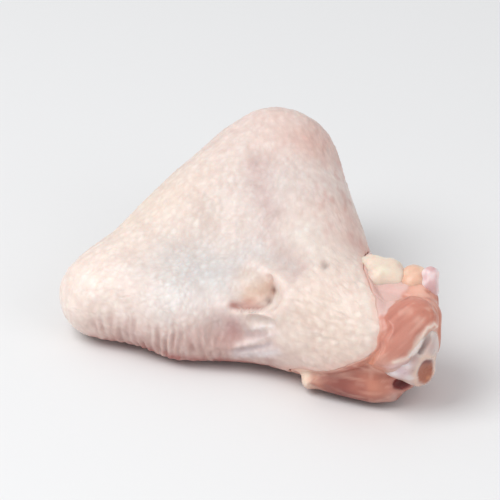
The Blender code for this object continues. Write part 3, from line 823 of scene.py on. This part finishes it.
def make_bone():
    """Rays square to the bone's axis, tipping forward past both ends, to its field."""
    last, little = len(BONE_PATH) - 1, 0.05
    at = np.linspace(-BONE_CAP, last + BONE_CAP, BONE_RINGS + 2)
    on_axis = np.clip(at, 0, last)
    centre = through(BONE_PATH, on_axis)
    ahead = through(BONE_PATH, np.minimum(on_axis + little, last))
    ahead = unit(ahead - through(BONE_PATH, np.maximum(on_axis - little, 0)))
    side = unit(np.cross((0, 0, 1), ahead))
    top = np.cross(ahead, side)
    past = np.clip(at - last, 0, BONE_CAP) + np.clip(at, -BONE_CAP, 0)
    tip = past / BONE_CAP * np.pi / 2
    turn = np.arange(BONE_AROUND) * 2 * np.pi / BONE_AROUND
    ring = np.cos(turn)[None, :, None] * side[:, None] + np.sin(turn)[None, :, None] * top[:, None]
    heading = np.cos(tip)[:, None, None] * ring + np.sin(tip)[:, None, None] * ahead[:, None]
    start = np.broadcast_to(centre[:, None], heading.shape)
    reach = march(start, heading, bone_field, BONE_STEPS, np.zeros(start.shape[:-1]))
    points = start + reach[..., None] * heading
    points = points - (0.12 * noise(points, 1.8, 44))[..., None] * outward(points, heading)
    poles = points[:1].mean(1), points[-1:].mean(1)
    return closed_piece("arm_bone", poles[0], points[1:-1], poles[1], bone_paint)


arm_bone = make_bone()

# %% [markdown]
# ## The meat
#
# Past the rim the muscles swell out of the sleeve as rounded bellies with creases between them.
# Each belly is a limb of the distance field. Its fibres run from end to end, so fine ridges
# follow the belly's own axis. A thin clear membrane covers the upper part and hides the fibres.

# %% meat
BELLIES = np.array((  # start, end and two radii of each muscle
    (38, -44.8, 21.6, 32.8, -48.6, 17.6, 6, 6.8),
    (12.4, -38.4, 4.6, 29.6, -42.2, 5.8, 4.4, 7.4),
    (40, -40.6, 21, 40.2, -43, 14.6, 4.6, 4.4),
    (27.5, -29.4, 20, 38.6, -35, 21, 6.6, 5.4),
    (37, -31.6, 13.6, 33.5, -34, 8, 6.4, 6.8),
    (35.2, -42.5, 8.2, 38, -43, 11, 5.4, 5),
))
STUB = ((33, -45.6, 2.8, 2.4),)  # x, y, z, radius of the cut stub of tendon
BLOOD, BLOOD_SIZE = (36, -47.6, 6.7), (2.2, 2.6, 1.7)
ALONG_SHARE = 0.86  # how far the fibres' noise is drawn out along a belly
VEIL_X, VEIL_TOP, VEIL_LENGTH, VEIL_HALF = 30.2, -36, 12.8, (6.2, 1.3)  # the membrane
SHEATH = path(
    (33.9, -55.2, 16.2), (37, -53.6, 16.8), (40.1, -51.1, 20.6), (41.4, -49.8, 22.4),
    (42.8, -48.2, 22.6), (43.6, -46.2, 21.2),
)
SEAM = path((28.9, -51.8, 16.4), (32.1, -55, 16.4), (35.7, -54.6, 16.6))
HIDDEN = 9  # how far the bellies shrink where the skin covers them
BARE, BARE_SINK = 0.45, 1.8  # depth below the form at the rim and past it
MEAT_AROUND, COVERED_RINGS, BARE_RINGS = 300, 26, 160


def bellies(p):
    """Distance to each muscle."""
    return [limb(p, row[:3], row[3:6], *row[6:]) for row in BELLIES]


def meat_field(p, at, turn):
    """The wing less its skin where that covers it; past the rim, the blend of the bellies."""
    past = at - rim_station(turn)
    bare = ramp(past, 0, 0.10)
    shy = (RELIEF + wall(at, turn) + GAP) * (1 - bare) + BARE * bare
    parts = [wing(p) + shy + (BARE_SINK - BARE) * ramp(past, 0.2, 0.9)]
    shrunk = HIDDEN * (1 - ramp(past, -0.05, 0.50))
    parts += [gap + shrunk for gap in bellies(p) + balls(p, STUB)]
    return on_board(p, blend(parts, 0.4))


def fibres(p):
    """Fine ridges along the nearest belly: noise fast across its axis and slow along it."""
    nearest = BELLIES[np.argmin(np.stack(bellies(p)), axis=0)]
    start, axis = nearest[..., :3], unit(nearest[..., 3:6] - nearest[..., :3])
    place = ((p - start) * axis).sum(axis=-1)
    flat = p - place[..., None] * axis * ALONG_SHARE
    return 0.6 * noise(flat, 0.75, 31) + 0.4 * noise(flat, 1.6, 32)


def seam_of_bellies(p):
    """One where two bellies meet: a bell over the difference of their two smallest distances."""
    gaps = np.sort(np.stack(bellies(p)), axis=0)
    return bump(gaps[1] - gaps[0], 0.5)


def membrane_cover(p):
    """Share of the clear membrane: a ragged wedge on the upper muscle that narrows forwards."""
    down = np.clip((VEIL_TOP - p[..., 1]) / VEIL_LENGTH, 0, 1)
    half = VEIL_HALF[0] + (VEIL_HALF[1] - VEIL_HALF[0]) * down
    d = np.abs(p[..., 0] - VEIL_X) / half + 0.14 * noise(p, 2, 33)
    return (1 - ramp(d, 0.85, 1.1)) * ramp(p[..., 2], 20.5, 23) * (1 - ramp(down, 0.9, 1))


def pit_distance(p):
    """Distance from the blood pit's middle in shares of its size, with a ragged rim."""
    return length((p - BLOOD) / BLOOD_SIZE) + 0.15 * noise(p, 1.2, 39)


def meat_relief(p):
    """Depth of the fibres, the blood pit and the membrane's tight folds, in millimetres."""
    veil = membrane_cover(p)
    depth = 0.20 + 0.16 * fibres(p) * (1 - 0.85 * veil) + 0.25 * noise(p, 3.4, 34)
    depth = depth + 0.5 * noise(p, 1.8, 48) * (1 - ramp(p[..., 0], 14, 22))
    depth = depth - 0.3 * beside(SHEATH, p, 0.7)
    pit = pit_distance(p)
    depth = depth + 1.6 * bump(pit, 0.7) - 0.4 * bump(pit - 1.3, 0.3)
    fold = np.sin(p @ np.array((0.25, 0.95, -0.9)) + 0.8 * noise(p, 3, 40))
    return depth - 0.25 * veil * np.clip(fold, 0, 1) ** 4


MEAT_GROUND = tone(202, 132, 114)
MEAT_STAINS = (  # x, y, z, reach, red, green, blue, strength
    (35.8, -50, 22, 8, 202, 134, 116, 0.9),  # big upper belly
    (26, -48, 7, 7, 180, 108, 92, 0.9),  # lower belly, its own darker red deepened by painted shade low down
    (20, -46, 5, 6.5, 134, 62, 54, 0.9),
    (29.5, -49.5, 6.6, 3.4, 204, 136, 112, 0.8),  # its pale middle
    (12.6, -42, 4.4, 4.2, 240, 220, 200, 1),  # fat at the low bite
    (16.8, -44.6, 3.6, 2.4, 214, 150, 126, 0.7),
    (33, -51, 9.6, 1.6, 150, 72, 60, 0.8),  # painted shade under the cartilage
    (42.6, -44, 21, 4.6, 198, 116, 86, 0.8),  # outer belly
    (29.8, -50.8, 14, 3.2, 216, 150, 122, 0.7),  # orange flesh below the big belly
    (39, -37.6, 26, 3.6, 236, 188, 168, 0.9),  # pale crown
    (33.2, -47.4, 2.2, 2.2, 232, 206, 196, 0.9),  # white stub
    (38.2, -46.2, 5.4, 1.6, 224, 190, 180, 0.8),  # torn edge beside the pit
    (34.6, -54.8, 14.8, 1.9, 220, 194, 198, 0.9),  # lilac film over the bone's head
    (36.8, -53.8, 15, 1.7, 220, 194, 198, 0.9),
)


def meat_paint(p, edge):
    """Red by belly, paler fibres, the membrane's veil, the sheath, the pit and its rim; painted shade
    low down and under the cartilage, and a pink rim partly painted light.
    """
    ragged = wander(p, 1.2, 3, 36)
    # share of painted shade: darker red low down near the board
    under = (1 - ramp(p[..., 2], 1.5, 5.5)) * ramp(p[..., 0], 13, 20)
    film = 1 - ramp(bone_field(p) + 0.5 * noise(p, 1.5, 45), 0.1, 0.9)
    frayed = p + 0.3 * noise(p, 1.3, 50)[..., None]
    strands, pit = fibres(p), pit_distance(p)
    colour = washed(stained(MEAT_GROUND, ragged, MEAT_STAINS), (
        # painted shade low down
        (128, 62, 56, 0.7 * under),
        (234, 184, 164, 0.75 * np.clip(strands - 0.1, 0, 1)),
        (146, 68, 54, 0.75 * np.clip(-strands - 0.1, 0, 1)),
        (232, 188, 170, 0.35 * seam_of_bellies(ragged)),
        (228, 182, 164, 0.30 * ramp(noise(p, 2.2, 35), 0.2, 0.9)),
        (224, 188, 180, 0.92 * membrane_cover(p)),
        (228, 178, 158, 0.3 * faded(SEAM, ragged, 2)),
        (212, 176, 162, 0.75 * film * ramp(p[..., 2], 11, 13)),
        (242, 220, 206, 0.9 * beside(SHEATH, frayed, 0.6)),
        (196, 132, 120, 0.6 * bump(pit - 1.35, 0.2)),
        (128, 12, 8, 0.97 * (1 - ramp(pit, 0.95, 1.25))),
        (56, 1, 1, 0.97 * bump(pit, 0.75)),
        # pink at the rim: partly the cut's own tone, partly painted light that lifts the groove's
        # shade
        (228, 180, 164, 0.75 * edge),
    ))
    return torn_hollow(p, colour)


def make_meat():
    """Few rings under the skin, many past the rim, with the relief where the meat is bare."""
    turn = turns_round(MEAT_AROUND, under_share=0.6)
    covered = sleeve_stations(COVERED_RINGS, turn)
    w = np.linspace(0, 1, BARE_RINGS + 2)[1:-1, None] ** 0.9
    at = np.concatenate((covered, rim_station(turn) * (1 - w) + (LAST + CAP) * w))
    full_turn = turn + 0 * at
    rings = cast(at, full_turn, meat_field, coarse=(90, 76))
    _, heading = rays(at, full_turn)
    shown = ramp(at - rim_station(turn), 0, 0.3) * ramp(rings[..., 2], 0.1, 1.2)
    rings = rings - (meat_relief(rings) * shown)[..., None] * outward(rings, heading)
    poles = one_ray(-CAP, meat_field), one_ray(LAST + CAP, meat_field)
    # where the meat meets the rim: partly its own pink, partly painted light
    near_rim = bump(at - rim_station(turn) - 0.03, 0.12)
    edge = np.concatenate(((0,), near_rim.ravel(), (0,)))
    tip = poles[1] * 0.5 + 0.5 * rings[-1].mean(0)
    return closed_piece("muscle", poles[0], rings, tip, lambda p: meat_paint(p, edge))


muscle = make_meat()

# %% [markdown]
# ## Fat and tendon
#
# Two soft lumps of fat and the white end of a tendon sit on top of the cut. Fat gathers in
# lobes, so a lump is a blend of a few balls, cast from its middle in all directions.

# %% fat and tendon
FAT_LOBES = (  # x, y, z, radius
    (28.4, -27.6, 26, 3.4), (32.4, -28.6, 25.8, 3.3), (30.2, -31.6, 25.2, 3.4),
    (26.8, -25.6, 25.6, 2.5), (33.8, -31.6, 25, 2.7), (28.2, -32.6, 25.2, 2.4),
)
SMALL_FAT_LOBES = (
    (37.3, -30.2, 26.2, 2.3), (38.5, -32.6, 25.9, 2.4), (37, -33.6, 25.3, 2), (39.3, -30.6, 26, 1.9),
)
TENDON_LOBES = (
    (42, -32.6, 27.7, 1.8), (41.4, -33.8, 25.6, 2.1), (41.8, -34.2, 23.9, 1.9),
    (40.8, -32.6, 27.6, 1.3),
)
LUMP_RINGS, LUMP_AROUND, LUMP_STEPS = 66, 96, 50


def make_lump(name, lobes, softness, grain, paint):
    """Rays from the lump's middle to the blend of its lobes, roughened by fine noise."""
    middle = np.array(lobes)[:, :3].mean(axis=0)
    rise = np.linspace(-np.pi / 2, np.pi / 2, LUMP_RINGS)[:, None]
    turn = np.arange(LUMP_AROUND)[None, :] * 2 * np.pi / LUMP_AROUND
    level, up = np.cos(rise), np.sin(rise) + 0 * turn
    heading = np.stack((level * np.cos(turn), level * np.sin(turn), up), -1)
    start = np.broadcast_to(middle, heading.shape)
    none = np.zeros(start.shape[:-1])
    reach = march(start, heading, lambda p: blend(balls(p, lobes), softness), LUMP_STEPS, none)
    reach = reach - grain * (0.6 + 0.6 * noise(start + reach[..., None] * heading, 1.3, 51))
    points = start + reach[..., None] * heading
    return closed_piece(name, points[:1].mean(1), points[1:-1], points[-1:].mean(1), paint)


def mottled(ground, light, dark, size, seed):
    """Paint that goes from the ground colour to a lighter and a darker one by soft noise."""
    def paint(p):
        """Colour at each point."""
        n = noise(p, size, seed)
        return washed(tone(*ground), ((*light, ramp(n, 0, 0.8)), (*dark, 0.7 * ramp(-n, 0.2, 0.9))))
    return paint


cream = mottled((230, 211, 193), (242, 234, 212), (220, 186, 172), 3, 61)
orange = mottled((230, 188, 163), (238, 206, 182), (218, 164, 142), 2, 62)
lilac = mottled((214, 174, 174), (240, 222, 222), (188, 140, 144), 2.2, 63)
cream_fat = make_lump("cream_fat", FAT_LOBES, 0.8, 0.3, cream)
orange_fat = make_lump("orange_fat", SMALL_FAT_LOBES, 0.7, 0.16, orange)
tendon_end = make_lump("tendon_end", TENDON_LOBES, 0.5, 0.2, lilac)

# %% [markdown]
# ## Finishes
#
# Raw flesh is wet and lets light in. The Principled shader does both: subsurface scattering
# softens the shading and a thin coat gives the wet glint. Colour comes from the mesh, varied by
# fine noise in Object coordinates, and bump adds only what is too small for the mesh.

# %% finishes
SHADER = {"Subsurface Radius": (1, 0.42, 0.28), "Coat Roughness": 0.22, "Specular IOR Level": 0.45}
WHITE_WET = 0.32, 0.25, 0.0015, 0.35  # roughness, scattering and its depth, coat
FAT_LOOK = 0.40, 0.3, 0.0020, 0.2, 1400, 0.00004, 260


def add_node(nodes, kind, **inputs):
    """New shader node with some of its inputs set; an underscore stands for a space."""
    made = nodes.new("ShaderNode" + kind)
    for name, value in inputs.items():
        made.inputs[name.replace("_", " ")].default_value = value
    return made


def flesh(name, roughness, subsurface, depth, coat, grain, bump_depth, glint):
    """Wet flesh: mesh colour times fine noise, uneven roughness, small bump, scattering and coat."""
    finish = bpy.data.materials.new(name)
    finish.use_nodes = True
    nodes, links = finish.node_tree.nodes, finish.node_tree.links
    shader = nodes["Principled BSDF"]
    colour = add_node(nodes, "VertexColor")
    colour.layer_name = "flesh_colour"
    place = add_node(nodes, "TexCoord")
    fine = add_node(nodes, "TexNoise", Scale=grain, Detail=4, Roughness=0.6)
    level = add_node(nodes, "MapRange", To_Min=0.93, To_Max=1.05)
    varied = add_node(nodes, "Mix")
    varied.data_type = "RGBA"
    varied.blend_type = "MULTIPLY"
    varied.inputs["Factor"].default_value = 1
    wet = add_node(nodes, "TexNoise", Scale=glint, Detail=2)
    gloss = add_node(nodes, "MapRange", From_Min=0.3, From_Max=0.7)
    gloss.inputs["To Min"].default_value = roughness - 0.1
    gloss.inputs["To Max"].default_value = roughness + 0.12
    pores = add_node(nodes, "Bump", Strength=0.5, Distance=bump_depth)
    for source, output, target, entry in (
            (place, "Object", fine, "Vector"), (fine, "Fac", level, "Value"),
            (colour, "Color", varied, "A"), (level, "Result", varied, "B"),
            (varied, "Result", shader, "Base Color"), (place, "Object", wet, "Vector"),
            (wet, "Fac", gloss, "Value"), (gloss, "Result", shader, "Roughness"),
            (fine, "Fac", pores, "Height"), (pores, "Normal", shader, "Normal")):
        links.new(source.outputs[output], target.inputs[entry])
    own = {"Subsurface Weight": subsurface, "Subsurface Scale": depth, "Coat Weight": coat}
    for entry, value in {**SHADER, **own}.items():
        shader.inputs[entry].default_value = value
    print(name, "finish")
    return finish


FINISHES = (  # piece, finish, the numbers of flesh(), node, slot
    (skin_sheet, "chicken_skin", (0.46, 0.22, 0.0022, 0.12, 1500, 0.00006, 130), "skin", "skin"),
    (muscle, "raw_muscle", (0.40, 0.18, 0.0018, 0.28, 1800, 0.00005, 220), "meat", "meat"),
    (arm_bone, "cartilage", (*WHITE_WET, 1200, 0.00003, 300), "humerus", "cartilage"),
    (cream_fat, "cream_fat", FAT_LOOK, "fat", "fat"),
    (orange_fat, "orange_fat", FAT_LOOK, "small_fat", "small_fat"),
    (tendon_end, "tendon", (*WHITE_WET, 1400, 0.00003, 300), "tendon", "tendon"),
)
for piece, name, sizes, node, slot in FINISHES:
    piece.data.materials.append(flesh(name, *sizes))
    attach(piece, "root")
    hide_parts(node)

# %% [markdown]
# ## Light, floor and camera
#
# The wing was lit by large soft lamps over a bright table, so shadows are short and pale. A wide
# lamp from the upper left gives the form, a second one fills from the right, and the world adds
# an even glow. The camera stands where the photograph was taken, narrowed to the wing.

# %% floor, light and camera
FLOOR, FLOOR_GAP = 3, 0.0002
EYE, AIM = (0.0504, -0.94976, 0.50548), (-0.00072, 0.00989, 0.015)
SENSOR, LENS = 36, 322.6
LAMP_AIM, LAMP_SIZE = (0, 0, 0.01), 0.6

pale = bpy.data.materials.new("pale_floor")
pale.use_nodes = True
pale_shader = pale.node_tree.nodes["Principled BSDF"]
pale_shader.inputs["Base Color"].default_value = (0.80, 0.80, 0.80, 1)
pale_shader.inputs["Roughness"].default_value = 0.7
floor_mesh = bpy.data.meshes.new("floor")
corners = [(-FLOOR, -FLOOR, 0), (FLOOR, -FLOOR, 0), (FLOOR, FLOOR, 0), (-FLOOR, FLOOR, 0)]
floor_mesh.from_pydata(corners, [], [(0, 1, 2, 3)])
floor_mesh.materials.append(pale)
floor = add_object("floor", floor_mesh)
floor.location.z = -FLOOR_GAP


def look(thing, place, aim):
    """Put a lamp or a camera in its place and turn it towards a point."""
    thing.location = place
    thing.rotation_mode = "QUATERNION"
    thing.rotation_quaternion = (Vector(aim) - Vector(place)).to_track_quat("-Z", "Y")


for name, place, power in (("key", (-0.45, -0.25, 0.75), 5), ("fill", (0.6, -0.5, 0.45), 1.2)):
    light = bpy.data.lights.new(name, "AREA")
    light.size = LAMP_SIZE
    light.energy = power
    look(add_object(name, light), place, LAMP_AIM)

world = bpy.data.worlds.new("soft_room")
bpy.context.scene.world = world
world.use_nodes = True
glow = world.node_tree.nodes["Background"]
glow.inputs["Color"].default_value = (0.97, 0.98, 1, 1)
glow.inputs["Strength"].default_value = 0.62

view = bpy.data.cameras.new("camera")
view.sensor_width = SENSOR
view.lens = LENS
camera = add_object("camera", view)
look(camera, EYE, AIM)
bpy.context.scene.camera = camera
bpy.context.scene.view_settings.view_transform = "Standard"
print("camera", round((Vector(AIM) - Vector(EYE)).length, 3), "m away")
